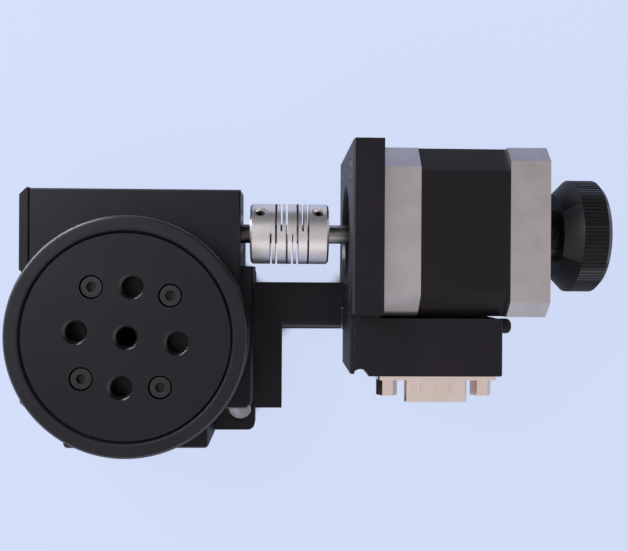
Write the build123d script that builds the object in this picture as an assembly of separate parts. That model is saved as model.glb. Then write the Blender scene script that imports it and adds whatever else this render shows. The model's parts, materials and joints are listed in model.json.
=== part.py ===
from build123d import *
import math
import os

# Motor-driven rotation stage. All sizes are in millimetres.
# Z is the table's axis and Z = 0 is the underside.
# The worm lies along X, on the +Y side, and X points to the motor.

# ---------------------------------------------------------------- heights
BASE_THICK = 6.0
WORM_HEIGHT = 22.0
SHOULDER_HEIGHT = 25.0          # the body's top beside the table

# ---------------------------------------------------------------- running fits and seats
SEAT_CLEARANCE = 0.02           # a ring on its shaft, or a shaft in its bore
THREAD_CLEARANCE = 0.03         # a screw's shank in its tapped hole
HOLE_CLEARANCE = 0.2            # a screw's shank in a clearance hole
HEAD_CLEARANCE = 0.25           # a screw's head in its counterbore
RUNNING_GAP = 0.05              # between rings, seals and rotor parts that turn past each other

# ---------------------------------------------------------------- worm gear
MODULE = 0.5
WHEEL_TEETH = 90
WORM_PITCH_RADIUS = 4.0
PRESSURE_ANGLE = 20.0
FLANK_CLEARANCE = 0.1           # each side of the thread, along the worm
ADDENDUM = MODULE
DEDENDUM = 1.25 * MODULE
WHEEL_PITCH_RADIUS = MODULE * WHEEL_TEETH / 2
WORM_LEAD = math.pi * MODULE    # single start, right hand
WORM_Y = WHEEL_PITCH_RADIUS + WORM_PITCH_RADIUS
WHEEL_FACE_WIDTH = 4.0
WORM_TURNS = 9
WORM_THREAD_PARTS = 3
THREAD_SUNK = 0.3               # thread's foot inside the worm's core
TOOTH_CUT_OVER = 0.4            # a tooth gap's cut past the wheel's tip
WORM_TIP_RADIUS = WORM_PITCH_RADIUS + ADDENDUM
WORM_ROOT_RADIUS = WORM_PITCH_RADIUS - DEDENDUM
WHEEL_TIP_RADIUS = WHEEL_PITCH_RADIUS + ADDENDUM

# ---------------------------------------------------------------- table
TABLE_ANGLE = -6.0              # the table's hole pattern at rest, about Z
PLATE_RADIUS = 25.75
RING_RADIUS = 30.0
PLATE_THICK = 5.0
RING_SEAT_DEPTH = 4.0           # plate's rim above the ring's shelf
RING_SHELF_THICK = 2.0
RING_SHELF_RADIUS = 22.5
SHELF_SIDE_GAP = 0.5            # between the shelf and the plate's lower step
RING_UNDER_GAP = 0.5            # the ring turns this far above the housing
RING_CHAMFER = 0.6
RING_UNDER_EDGE = 0.3
GROOVE_WIDTH = 0.5              # relief in the ring's top, beside the plate
GROOVE_DEPTH = 0.8
PLATE_RIM_EDGE = 0.25
TABLE_HOLE_RADIUS = 2.5         # tapped M6
TABLE_HOLE_MOUTH = 3.15
TABLE_HOLE_CIRCLE = 25.0
TABLE_HOLE_COUNT = 4
TABLE_SCREW_X = 9.7
TABLE_SCREW_Y = 11.35

# ---------------------------------------------------------------- spindle and table bearing
BEARING_INNER_RADIUS = 15.0
BEARING_OUTER_RADIUS = 21.0
BEARING_WIDTH = 7.0
BEARING_RING_GAP = 0.9          # between inner and outer ring
BEARING_PROUD = 1.3             # of the housing's top, into the retainer
ROLLER_DIAMETER = 3.0
ROLLER_LENGTH = 2.8
ROLLER_COUNT = 18
BEARING_LIP_RADIUS = 19.5
BEARING_LIP_THICK = 1.0
WHEEL_TO_LIP = 0.3
SPINDLE_FLANGE_STEP = 0.6       # flange's edge inside the rollers' circle
SPINDLE_BORE_RADIUS = 5.5
SPINDLE_SPIGOT_RADIUS = 9.0
SPINDLE_SPIGOT_SHORT = 1.0      # spigot's end above the wheel's underside
SPINDLE_FLOOR = 0.6             # left below the holes that the table's threads open into
WHEEL_SHOULDER_RADIUS = 16.8
WHEEL_SCREW_CIRCLE = 27.0
WHEEL_SCREW_COUNT = 4
RETAINER_THICK = 1.0
RETAINER_LAND = 4.6             # round the bearing
RETAINER_TOP_GAP = 0.7          # under the ring's shelf
RETAINER_SIDE_GAP = 0.8
RETAINER_SCREW_COUNT = 6

# ---------------------------------------------------------------- body housing
FLANK_X = 30.5
FLANK_Y_LOW = -19.9
FLANK_Y_HIGH = 17.8
FLANK_CORNER = 1.5
TAB_X = 19.1
TAB_Y = -30.4
TAB_CORNER = 1.2
BOSS_LAND = 1.4                 # round the bearing's retainer
WORM_BLOCK_LEFT = -27.2
WORM_BLOCK_RIGHT = 27.3
WORM_BLOCK_BEHIND = 11.1        # from the worm's axis to the block's back
WORM_BLOCK_ABOVE = 7.0          # from the worm's axis to the block's top
WORM_BLOCK_BELOW = 9.0          # from the worm's axis to the block's underside
CAVITY_WALL = 1.0               # behind the wheel, below the block
CAVITY_CLEARANCE = 1.0          # round the wheel's tip
TUNNEL_CLEARANCE = 0.4          # round the worm's tip
HOUSING_EDGE = 0.4
GASKET_THICK = 0.4
GASKET_PROUD = 0.2              # past the block's back
COVER_THICK = 1.9
COVER_OVERLAP = 3.0             # along the left flank, below the block
COVER_BEVEL = 1.7
COVER_SCREW_INSET = 3.2
COVER_SCREW_SINK = 0.1

# ---------------------------------------------------------------- base plate
BASE_Y_LOW = -29.1
BASE_CORNER = 2.0
EAR_SIDE = 4.5                  # ear hole's centre from the plate's side
EAR_END = 5.6                   # and from its end
EAR_RADIUS = 3.4
BASE_SCREW_SIDE = 3.3
BASE_SCREW_Y = 13.5

# ---------------------------------------------------------------- worm bearings and shafts
SHAFT_RADIUS = 2.5
SMALL_BEARING_RADIUS = 5.5
SMALL_BEARING_WIDTH = 5.0
SMALL_RING_INNER = 3.4          # inner ring's outside
SMALL_RING_EDGE = 0.2
BEARING_NUT_THICK = 2.0
BEARING_NUT_GAP = 0.3           # round the inner ring
NUT_SLOT_RADIUS = 0.5
NUT_SLOT_INSET = 0.9
NUT_SLOT_DEPTH = 1.0
WORM_SHAFT_INSET = 0.5          # shaft's left end inside the block's
WORM_SHAFT_RADIUS = 3.2         # between the bearings
COUPLING_GAP = 1.4              # between the two shafts' ends

# ---------------------------------------------------------------- coupling
COUPLING_FROM_BLOCK = 2.5
COUPLING_LENGTH = 20.6
COUPLING_RADIUS = 8.0
COUPLING_EDGE = 0.5
SLIT_WIDTH = 0.5
SLIT_PITCH = 1.4
SLIT_TURNS = (135, 45, -135, -45, 135, 45, -135, -45)
SLIT_WEB = 2.6                  # what a slit leaves uncut on its far side
COUPLING_SCREW_INSET = 2.6
COUPLING_SCREW_TURNS = (-45, -135)
SET_SCREW_RADIUS = 1.25
SET_SCREW_HEX = 1.3
SET_SCREW_SUNK = 1.0

# ---------------------------------------------------------------- bracket and motor plate
BRACKET_HEIGHT = 10.0
FOOT_THICK = 7.7
FOOT_Y_LOW = -22.1
ARM_Y_LOW = 0.2
ARM_Y_HIGH = 13.4
ARM_EDGE = 2.6                  # bevel along the arm's outer top edge
BRACKET_SCREW_Y = (-8.5, 0.0, 8.5)
PLATE_FROM_COUPLING = 4.8
MOTOR_PLATE_THICK = 7.6
MOTOR_PLATE_OVER = 3.85         # plate's top above the motor's
MOTOR_PLATE_NEAR = 20.4         # from the worm's axis to the plate's near side
MOTOR_PLATE_FAR = 22.0
MOTOR_BORE_RADIUS = 12.4
MOTOR_BORE_CHAMFER = 0.8
PLATE_EDGE = 0.5

# ---------------------------------------------------------------- motor
MOTOR_SIZE = 42.3
MOTOR_HOLE_SQUARE = 31.0
FRONT_CAP_LENGTH = 9.4
STACK_LENGTH = 22.1
REAR_CAP_LENGTH = 9.9
STACK_SIZE = 42.2
FRONT_CAP_CHAMFER = 5.5
REAR_CAP_CHAMFER = 3.8
STACK_CHAMFER = 6.2
MOTOR_BEARING_INSET = 1.0
SHAFT_HOLE_GAP = 1.0            # round the shaft, in the caps
PILOT_RADIUS = 11.0
PILOT_HEIGHT = 2.0
ROTOR_RADIUS = 12.9
ROTOR_CUP_LENGTH = 9.0
ROTOR_MAGNET_RADIUS = 11.6
STATOR_BORE_RADIUS = 13.0
POLE_COUNT = 8
SLOT_OUTER_RADIUS = 18.2
POLE_NECK = 3.4
POLE_TIP_THICK = 1.1
POLE_GAP = 1.6
BORE_CUT_OVER = 0.5             # a slot's cut into the stator's bore
COIL_THICK = 1.6
COIL_OVERHANG = 2.0             # past the stack's end
COIL_INNER_GAP = 0.3            # from the poles' tips
COIL_OUTER_GAP = 0.6            # from the stack's yoke
COIL_NECK_GAP = 0.1
COIL_END_GAP = 0.2
ROTOR_GROOVE = 2.0
SHAFT_EDGE = 0.4

# ---------------------------------------------------------------- hand knob
KNOB_RADIUS = 15.0
KNOB_FROM_MOTOR = 2.6
KNOB_HUB_LENGTH = 4.3
KNOB_BACK_BEVEL = 3.9
KNOB_RIM_LENGTH = 7.6
KNOB_HUB_RADIUS = 7.0
KNOB_HUB_EDGE = 0.4
KNOB_RIM_EDGE = 1.3
KNOB_FLUTES = 90
KNOB_FLUTE_DEPTH = 0.2
KNOB_FLUTE_WIDTH = 0.6
KNOB_FLUTE_OVER = 0.1           # a flute's cut past the rim
KNOB_FACE_RECESS = 0.8
KNOB_FACE_RADIUS = 10.5

# ---------------------------------------------------------------- connector housing and D connector
CASE_COVER_THICK = 1.2
CASE_LENGTH = 37.2
CASE_DEPTH = 14.4               # along Y
CASE_UNDER_MOTOR_GAP = 0.55
CASE_Z_LOW = 12.5
CASE_Z_HIGH = 39.0
CASE_WALL = 2.6
CASE_CORNER = 0.6
CASE_COVER_INSET = 0.6
CASE_COVER_EDGE = 0.3
CASE_NOTCH_RADIUS = 2.1
CASE_NOTCH_DEPTH = 1.8
CASE_NOTCH_FROM_LEFT = 1.5
DSUB_FROM_CASE_LEFT = 22.2
DSUB_Z = 25.5
DSUB_FLANGE_LENGTH = 30.8
DSUB_FLANGE_WIDTH = 12.5
DSUB_FLANGE_THICK = 1.9         # front and back shells together
DSUB_FLANGE_CORNER = 1.2
DSUB_SHELL_WIDTH = 17.1
DSUB_SHELL_HEIGHT = 8.4
DSUB_SHELL_REACH = 5.9
DSUB_RIB_COUNT = 3
DSUB_RIB_PITCH = 3.7
DSUB_RIB_RADIUS = 0.45
DSUB_RIB_LENGTH = 2.6
DSUB_RIB_PROUD = 0.3
DSUB_RIB_FROM_FLANGE = 1.2
DSUB_SHELL_WALL = 0.5
DSUB_TAPER = 10.0
DSUB_CORNER = 1.6
JACK_SPACING = 25.0
JACK_FLATS = 4.8
JACK_REACH = 4.5
JACK_HOLE_RADIUS = 1.25
PIN_RADIUS = 0.5
PIN_REACH = 5.0
PIN_PITCH = 2.77
PIN_ROW_GAP = 2.84
PIN_ROWS = (5, 4)
PIN_TIP_INSET = 0.6             # pins' tips inside the shell's mouth
PIN_TAIL = 2.0                  # behind the insulator
INSULATOR_BACK = 3.0            # behind the case's wall
DSUB_CUTOUT_OVER = 0.6          # the case's cutout, wider and taller than the shell
JACK_PAST_WALL = 1.0
JACK_HOLE_END = 1.0             # left solid behind a jackscrew's own hole
GROMMET_RADIUS = 1.9
GROMMET_REACH = 2.8
GROMMET_Z = 35.5
GROMMET_EDGE = 1.2

# ---------------------------------------------------------------- home sensor
SENSOR_RADIUS = 19.0            # the flag's path
SENSOR_ANGLE = -135.0
SENSOR_WIDTH = 5.0
SENSOR_DEPTH = 7.0
SENSOR_HEIGHT = 8.0
SENSOR_SLOT = 2.6
SENSOR_FLOOR = 3.0
FLAG_RADIUS = 0.8
FLAG_ANGLE = 60.0
FLAG_IN_WHEEL = 2.5
FLAG_OVER_SENSOR = 1.5          # flag's end above the fork's floor

# ---------------------------------------------------------------- screws
# head radius, head height, shank radius, hex across flats
M2_5 = (2.25, 2.5, 1.25, 2.0)
M3 = (2.75, 3.0, 1.5, 2.5)
M4 = (3.5, 4.0, 2.0, 3.0)
M2_5_LOW = (2.0, 1.2, 1.25, 1.5)
HEAD_EDGE = 0.08                # bevel of a head, as a share of its radius
SOCKET_DEPTH = 0.55             # as a share of the head's height
HOLE_SPARE = 0.5                # a tapped hole's depth past its screw

# ---------------------------------------------------------------- screw lengths below the head
TABLE_SCREW_LENGTH = 4.0
TABLE_SCREW_SINK = 0.4          # head's top below the table's face
WHEEL_SCREW_LENGTH = 8.0
RETAINER_SCREW_LENGTH = 5.0
BASE_SCREW_LENGTH = 8.0
BRACKET_SCREW_LENGTH = 10.0
COVER_SCREW_LENGTH = 5.0
PLATE_SCREW_LENGTH = 8.0
MOTOR_SCREW_LENGTH = 8.0
MOTOR_CASE_SCREW_LENGTH = 33.0
MOTOR_HOLE_SPARE = 0.3
CASE_SCREW_LENGTH = 8.0
CASE_SCREW_Z = (20.0, 32.0)

# ---------------------------------------------------------------- dowel between bracket and motor plate
DOWEL_RADIUS = 1.0
DOWEL_INSET = 1.6               # from the plate's near side and from the bracket's top
DOWEL_IN_BRACKET = 4.0
DOWEL_IN_PLATE = 3.0
PLATE_SCREW_Y = 10.6

# ---------------------------------------------------------------- places that follow from the sizes above
WHEEL_LOW = WORM_HEIGHT - WHEEL_FACE_WIDTH / 2
WHEEL_HIGH = WORM_HEIGHT + WHEEL_FACE_WIDTH / 2
LIP_LOW = WHEEL_HIGH + WHEEL_TO_LIP
BEARING_LOW = LIP_LOW + BEARING_LIP_THICK
BEARING_HIGH = BEARING_LOW + BEARING_WIDTH
ROLLER_CIRCLE_RADIUS = (BEARING_INNER_RADIUS + BEARING_OUTER_RADIUS) / 2
SPINDLE_FLANGE_RADIUS = ROLLER_CIRCLE_RADIUS - SPINDLE_FLANGE_STEP
HOUSING_TOP = BEARING_HIGH - BEARING_PROUD
RETAINER_TOP = BEARING_HIGH + RETAINER_THICK
RETAINER_RADIUS = BEARING_OUTER_RADIUS + RETAINER_LAND
SHELF_LOW = RETAINER_TOP + RETAINER_TOP_GAP
SHELF_TOP = SHELF_LOW + RING_SHELF_THICK
TABLE_TOP = SHELF_TOP + RING_SEAT_DEPTH
PLATE_LOW = TABLE_TOP - PLATE_THICK
CAVITY_RADIUS = WHEEL_TIP_RADIUS + CAVITY_CLEARANCE
WORM_BLOCK_Y = WORM_Y + WORM_BLOCK_BEHIND
WORM_BLOCK_DEEP_Y = CAVITY_RADIUS + CAVITY_WALL
WORM_BLOCK_UNDER = WORM_HEIGHT - WORM_BLOCK_BELOW
WORM_BLOCK_TOP = WORM_HEIGHT + WORM_BLOCK_ABOVE
BOSS_RADIUS = RETAINER_RADIUS + BOSS_LAND
COVER_Y_LOW = FLANK_Y_HIGH - COVER_OVERLAP
BASE_SCREW_X = FLANK_X - BASE_SCREW_SIDE
EAR_X = FLANK_X - EAR_SIDE
EAR_Y = BASE_Y_LOW + EAR_END
TUNNEL_RADIUS = WORM_TIP_RADIUS + TUNNEL_CLEARANCE
LEFT_BEARING_END = WORM_BLOCK_LEFT + SMALL_BEARING_WIDTH
RIGHT_BEARING_HIGH = WORM_BLOCK_RIGHT - BEARING_NUT_THICK
RIGHT_BEARING_LOW = RIGHT_BEARING_HIGH - SMALL_BEARING_WIDTH
COUPLING_LEFT = WORM_BLOCK_RIGHT + COUPLING_FROM_BLOCK
COUPLING_RIGHT = COUPLING_LEFT + COUPLING_LENGTH
PLATE_LEFT = COUPLING_RIGHT + PLATE_FROM_COUPLING
COUPLING_MIDDLE = (COUPLING_LEFT + COUPLING_RIGHT) / 2
WORM_SHAFT_END = COUPLING_MIDDLE - COUPLING_GAP / 2
MOTOR_SHAFT_START = COUPLING_MIDDLE + COUPLING_GAP / 2
MOTOR_FRONT = PLATE_LEFT + MOTOR_PLATE_THICK
MOTOR_PLATE_HEIGHT = WORM_HEIGHT + MOTOR_SIZE / 2 + MOTOR_PLATE_OVER
MOTOR_PLATE_Y_LOW = WORM_Y - MOTOR_PLATE_NEAR
MOTOR_PLATE_Y_HIGH = WORM_Y + MOTOR_PLATE_FAR
STACK_START = MOTOR_FRONT + FRONT_CAP_LENGTH
STACK_END = STACK_START + STACK_LENGTH
MOTOR_REAR = STACK_END + REAR_CAP_LENGTH
KNOB_HUB_START = MOTOR_REAR + KNOB_FROM_MOTOR
KNOB_BACK = KNOB_HUB_START + KNOB_HUB_LENGTH
KNOB_RIM_START = KNOB_BACK + KNOB_BACK_BEVEL
KNOB_END = KNOB_RIM_START + KNOB_RIM_LENGTH
CASE_LEFT = PLATE_LEFT + CASE_COVER_THICK
CASE_RIGHT = CASE_LEFT + CASE_LENGTH
CASE_Y_HIGH = WORM_Y - MOTOR_SIZE / 2 - CASE_UNDER_MOTOR_GAP
CASE_Y_LOW = CASE_Y_HIGH - CASE_DEPTH
DSUB_X = CASE_LEFT + DSUB_FROM_CASE_LEFT
GROMMET_Y = CASE_Y_HIGH - GROMMET_RADIUS
DOWEL_START = PLATE_LEFT - DOWEL_IN_BRACKET
DOWEL_END = PLATE_LEFT + DOWEL_IN_PLATE
FRONT_BEARING_LOW = MOTOR_FRONT + MOTOR_BEARING_INSET
FRONT_BEARING_HIGH = FRONT_BEARING_LOW + SMALL_BEARING_WIDTH
REAR_BEARING_HIGH = MOTOR_REAR - MOTOR_BEARING_INSET
REAR_BEARING_LOW = REAR_BEARING_HIGH - SMALL_BEARING_WIDTH
FLAG_TOP = WHEEL_LOW + FLAG_IN_WHEEL
ROTOR_START = (STACK_START + STACK_END) / 2 - ROTOR_CUP_LENGTH
ROTOR_END = (STACK_START + STACK_END) / 2 + ROTOR_CUP_LENGTH
MOTOR_CORNERS = [(y, z) for y in (-1, 1) for z in (-1, 1)]


# ---------------------------------------------------------------- helpers
def disc(radius, low, high, x=0.0, y=0.0):
    """A cylinder along Z."""
    return Pos(x, y, (low + high) / 2) * Cylinder(radius, high - low)


def bar(radius, low, high, y=WORM_Y, z=WORM_HEIGHT):
    """A cylinder along X, on the worm's axis unless another is given."""
    return Pos((low + high) / 2, y, z) * Rot(0, 90, 0) * Cylinder(radius, high - low)


def block(x_range, y_range, z_range):
    """A box between two values on each axis."""
    size = [high - low for low, high in (x_range, y_range, z_range)]
    middle = [(high + low) / 2 for low, high in (x_range, y_range, z_range)]
    return Pos(*middle) * Box(*size)


def turned_z(points):
    """A solid turned about Z from an outline of (radius, height) points."""
    return revolve(Plane.XZ * make_face(Polyline(*points, close=True)), Axis.Z)


def turned_x(points):
    """A solid turned about the worm's axis from an outline of (x, radius) points."""
    shape = revolve(make_face(Polyline(*points, close=True)), Axis.X)
    return Pos(0, WORM_Y, WORM_HEIGHT) * shape


def ring_x(inner, outer, low, high, edge=0.0):
    """A ring on the worm's axis, with its outer edges bevelled."""
    points = [(low, inner), (low, outer - edge), (low + edge, outer), (high - edge, outer),
              (high, outer - edge), (high, inner)]
    if edge == 0:
        points = [(low, inner), (low, outer), (high, outer), (high, inner)]
    return turned_x(points)


def socket_screw(size, length):
    """A socket-head screw along Z: its head's top is at Z = 0 and it points down."""
    head_radius, head_height, shank_radius, hex_size = size
    edge = HEAD_EDGE * head_radius
    end = -head_height - length
    head = turned_z([(0, 0), (head_radius - edge, 0), (head_radius, -edge), (head_radius, -head_height),
                     (shank_radius, -head_height), (shank_radius, end), (0, end)])
    socket = extrude(RegularPolygon(hex_size / 2, 6, major_radius=False), amount=-head_height * SOCKET_DEPTH)
    return head - socket


def screw_hole(size, length, thread_length=0.0, open_height=0.0):
    """What a socket-head screw needs cut away: head, clearance length, then a tapped length."""
    head_radius, head_height, shank_radius, _ = size
    cut = disc(head_radius + HEAD_CLEARANCE, -head_height, open_height)
    cut += disc(shank_radius + HOLE_CLEARANCE, -head_height - length + thread_length, -head_height)
    if thread_length > 0:
        cut += tapped_hole(size, length, thread_length)
    return cut


def tapped_hole(size, length, thread_length, spare=HOLE_SPARE):
    """The tapped end of a screw's hole, a little deeper than the screw."""
    head_radius, head_height, shank_radius, _ = size
    end = -head_height - length
    return disc(shank_radius + THREAD_CLEARANCE, end - spare, end + thread_length)


def placed(shape, spots, turn=Rot(0, 0, 0)):
    """Copies of a shape, turned and moved to each spot."""
    return [Pos(*spot) * turn * shape for spot in spots]


def round_spots(diameter, count, height, start=0.0):
    """Evenly spaced spots on a circle about Z."""
    angles = [math.radians(start + 360 * index / count) for index in range(count)]
    return [(diameter / 2 * math.cos(angle), diameter / 2 * math.sin(angle), height) for angle in angles]


TO_LEFT = Rot(0, -90, 0)         # a screw whose head faces -X
TO_RIGHT = Rot(0, 90, 0)         # a screw whose head faces +X
TO_DOWN = Rot(180, 0, 0)         # a screw whose head faces -Z
TO_FRONT = Rot(90, 0, 0)         # a screw whose head faces -Y


# ---------------------------------------------------------------- screws and their spots


def table_screw_spots():
    turn = math.radians(TABLE_ANGLE)
    spots = []
    for x in (-TABLE_SCREW_X, TABLE_SCREW_X):
        for y in (-TABLE_SCREW_Y, TABLE_SCREW_Y):
            spots.append((x * math.cos(turn) - y * math.sin(turn), x * math.sin(turn) + y * math.cos(turn),
                          TABLE_TOP - TABLE_SCREW_SINK))
    return spots


def table_hole_spots():
    return round_spots(TABLE_HOLE_CIRCLE, TABLE_HOLE_COUNT, 0, start=TABLE_ANGLE)


def wheel_screw_spots():
    return round_spots(WHEEL_SCREW_CIRCLE, WHEEL_SCREW_COUNT, WHEEL_LOW, start=45 + TABLE_ANGLE)


def retainer_screw_spots():
    circle = BEARING_OUTER_RADIUS + RETAINER_RADIUS
    return round_spots(circle, RETAINER_SCREW_COUNT, RETAINER_TOP, start=30)


def base_screw_spots():
    return [(x, y, 0) for x in (-BASE_SCREW_X, BASE_SCREW_X) for y in (-BASE_SCREW_Y, BASE_SCREW_Y)]


def bracket_screw_spots():
    return [(FLANK_X + FOOT_THICK, y, BASE_THICK / 2) for y in BRACKET_SCREW_Y]


def cover_screw_spots():
    y_spots = (COVER_Y_LOW + COVER_SCREW_INSET, WORM_BLOCK_Y - COVER_SCREW_INSET)
    z_spots = (WORM_BLOCK_UNDER + COVER_SCREW_INSET, WORM_BLOCK_TOP - COVER_SCREW_INSET)
    left = WORM_BLOCK_LEFT - GASKET_THICK - COVER_THICK + COVER_SCREW_SINK
    return [(left, y, z) for y in y_spots for z in z_spots]


def motor_screw_spots(x):
    half = MOTOR_HOLE_SQUARE / 2
    return [(x, WORM_Y + y * half, WORM_HEIGHT + z * half) for y, z in MOTOR_CORNERS]


def mount_screw_spots():
    """The motor's screws in its plate: the bracket's arm covers the fourth corner."""
    corners = motor_screw_spots(PLATE_LEFT)
    return [spot for spot in corners if spot[1] > ARM_Y_HIGH or spot[2] > BRACKET_HEIGHT]


def case_screw_spots():
    middle = (CASE_LEFT + MOTOR_FRONT) / 2
    return [(middle, CASE_Y_HIGH - CASE_WALL - M3[1], z) for z in CASE_SCREW_Z]


# ---------------------------------------------------------------- the table's body
def table_plate():
    rim = PLATE_RADIUS
    step = RING_SHELF_RADIUS - SHELF_SIDE_GAP
    plate = turned_z([(0, PLATE_LOW), (step, PLATE_LOW), (step, SHELF_TOP), (rim, SHELF_TOP),
                      (rim, TABLE_TOP - PLATE_RIM_EDGE), (rim - PLATE_RIM_EDGE, TABLE_TOP), (0, TABLE_TOP)])
    mouth = TABLE_HOLE_MOUTH - TABLE_HOLE_RADIUS
    hole = turned_z([(0, PLATE_LOW), (TABLE_HOLE_RADIUS, PLATE_LOW), (TABLE_HOLE_RADIUS, TABLE_TOP - mouth),
                     (TABLE_HOLE_MOUTH, TABLE_TOP), (0, TABLE_TOP)])
    plate -= hole
    for spot in table_hole_spots():
        plate -= Pos(*spot) * hole
    for spot in table_screw_spots():
        plate -= Pos(*spot) * screw_hole(M3, PLATE_THICK, open_height=TABLE_SCREW_SINK)
    return [plate]


def scale_ring():
    bore = PLATE_RADIUS + RUNNING_GAP
    low = HOUSING_TOP + RING_UNDER_GAP
    recess = RETAINER_RADIUS + RETAINER_SIDE_GAP
    groove = bore + GROOVE_WIDTH
    outline = [(bore, SHELF_TOP), (bore, TABLE_TOP - GROOVE_DEPTH), (groove, TABLE_TOP - GROOVE_DEPTH),
               (groove, TABLE_TOP), (RING_RADIUS - RING_CHAMFER, TABLE_TOP),
               (RING_RADIUS, TABLE_TOP - RING_CHAMFER), (RING_RADIUS, low + RING_UNDER_EDGE),
               (RING_RADIUS - RING_UNDER_EDGE, low), (recess, low), (recess, SHELF_LOW),
               (RING_SHELF_RADIUS, SHELF_LOW), (RING_SHELF_RADIUS, SHELF_TOP)]
    return [turned_z(outline)]


def spindle():
    shaft = BEARING_INNER_RADIUS - SEAT_CLEARANCE
    low = WHEEL_LOW + SPINDLE_SPIGOT_SHORT
    body = turned_z([(SPINDLE_BORE_RADIUS, low), (SPINDLE_SPIGOT_RADIUS, low),
                     (SPINDLE_SPIGOT_RADIUS, BEARING_LOW), (shaft, BEARING_LOW), (shaft, BEARING_HIGH),
                     (SPINDLE_FLANGE_RADIUS, BEARING_HIGH), (SPINDLE_FLANGE_RADIUS, PLATE_LOW),
                     (SPINDLE_BORE_RADIUS, PLATE_LOW)])
    depth = TABLE_TOP - TABLE_SCREW_SINK - M3[1] - PLATE_LOW
    for spot in table_screw_spots():
        body -= Pos(*spot) * tapped_hole(M3, TABLE_SCREW_LENGTH, TABLE_SCREW_LENGTH - depth)
    for spot in wheel_screw_spots():
        body -= Pos(*spot) * TO_DOWN * tapped_hole(M2_5, WHEEL_SCREW_LENGTH, WHEEL_SCREW_LENGTH)
    for spot in table_hole_spots():
        body -= Pos(*spot) * disc(TABLE_HOLE_MOUTH, BEARING_HIGH + SPINDLE_FLOOR, PLATE_LOW)
    return [body]


def wheel_gap():
    """One gap between two wheel teeth, facing +Y and slanted to the worm's lead."""
    slant = math.atan(WORM_LEAD / (2 * math.pi * WORM_PITCH_RADIUS))
    tooth_line = Plane(origin=(0, WHEEL_PITCH_RADIUS, WORM_HEIGHT),
                       x_dir=(math.cos(slant), 0, math.sin(slant)),
                       z_dir=(-math.sin(slant), 0, math.cos(slant)))
    flank = math.tan(math.radians(PRESSURE_ANGLE + 90 / WHEEL_TEETH))
    middle = WORM_LEAD / 4
    top = ADDENDUM + TOOTH_CUT_OVER
    outline = Polyline((-middle + DEDENDUM * flank, -DEDENDUM), (middle - DEDENDUM * flank, -DEDENDUM),
                       (middle + top * flank, top), (-middle - top * flank, top), close=True)
    return extrude(tooth_line * make_face(outline), amount=WHEEL_FACE_WIDTH, both=True)


def worm_wheel():
    bore = SPINDLE_SPIGOT_RADIUS + SEAT_CLEARANCE
    wheel = turned_z([(bore, WHEEL_LOW), (WHEEL_TIP_RADIUS, WHEEL_LOW), (WHEEL_TIP_RADIUS, WHEEL_HIGH),
                      (WHEEL_SHOULDER_RADIUS, WHEEL_HIGH), (WHEEL_SHOULDER_RADIUS, BEARING_LOW),
                      (bore, BEARING_LOW)])
    gap = wheel_gap()
    wheel -= [Rot(0, 0, 360 * tooth / WHEEL_TEETH) * gap for tooth in range(WHEEL_TEETH)]
    for spot in wheel_screw_spots():
        wheel -= Pos(*spot) * TO_DOWN * screw_hole(M2_5, WHEEL_SCREW_LENGTH)
    flag_hole = disc(FLAG_RADIUS + SEAT_CLEARANCE, WHEEL_LOW, FLAG_TOP)
    wheel -= Rot(0, 0, FLAG_ANGLE) * Pos(SENSOR_RADIUS, 0, 0) * flag_hole
    return [wheel]


def home_flag():
    pin = disc(FLAG_RADIUS, BASE_THICK + SENSOR_FLOOR + FLAG_OVER_SENSOR, FLAG_TOP)
    return [Rot(0, 0, FLAG_ANGLE) * Pos(SENSOR_RADIUS, 0, 0) * pin]


# ---------------------------------------------------------------- table bearing
def bearing_race(outline):
    """A bearing ring with the rollers' square track cut into it."""
    middle = (BEARING_LOW + BEARING_HIGH) / 2
    reach = (ROLLER_DIAMETER / 2 + RUNNING_GAP) * math.sqrt(2)
    track = turned_z([(ROLLER_CIRCLE_RADIUS - reach, middle), (ROLLER_CIRCLE_RADIUS, middle - reach),
                      (ROLLER_CIRCLE_RADIUS + reach, middle), (ROLLER_CIRCLE_RADIUS, middle + reach)])
    return turned_z(outline) - track


def table_bearing_inner_ring():
    outside = ROLLER_CIRCLE_RADIUS - BEARING_RING_GAP / 2
    return [bearing_race([(BEARING_INNER_RADIUS, BEARING_LOW), (outside, BEARING_LOW),
                          (outside, BEARING_HIGH), (BEARING_INNER_RADIUS, BEARING_HIGH)])]


def table_bearing_outer_ring():
    inside = ROLLER_CIRCLE_RADIUS + BEARING_RING_GAP / 2
    return [bearing_race([(inside, BEARING_LOW), (BEARING_OUTER_RADIUS, BEARING_LOW),
                          (BEARING_OUTER_RADIUS, BEARING_HIGH), (inside, BEARING_HIGH)])]


def bearing_rollers():
    middle = (BEARING_LOW + BEARING_HIGH) / 2
    rollers = []
    for index in range(ROLLER_COUNT):
        lean = 45 if index % 2 else -45
        roller = Rot(0, lean, 0) * Cylinder(ROLLER_DIAMETER / 2, ROLLER_LENGTH)
        rollers.append(Rot(0, 0, 360 * index / ROLLER_COUNT) * Pos(ROLLER_CIRCLE_RADIUS, 0, middle) * roller)
    return rollers


def bearing_retainer_ring():
    seat = BEARING_OUTER_RADIUS + SEAT_CLEARANCE
    ring = turned_z([(seat, HOUSING_TOP), (RETAINER_RADIUS, HOUSING_TOP), (RETAINER_RADIUS, RETAINER_TOP),
                     (BEARING_LIP_RADIUS, RETAINER_TOP), (BEARING_LIP_RADIUS, BEARING_HIGH),
                     (seat, BEARING_HIGH)])
    for spot in retainer_screw_spots():
        ring -= Pos(*spot) * screw_hole(M2_5_LOW, RETAINER_SCREW_LENGTH)
    return [ring]


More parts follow.
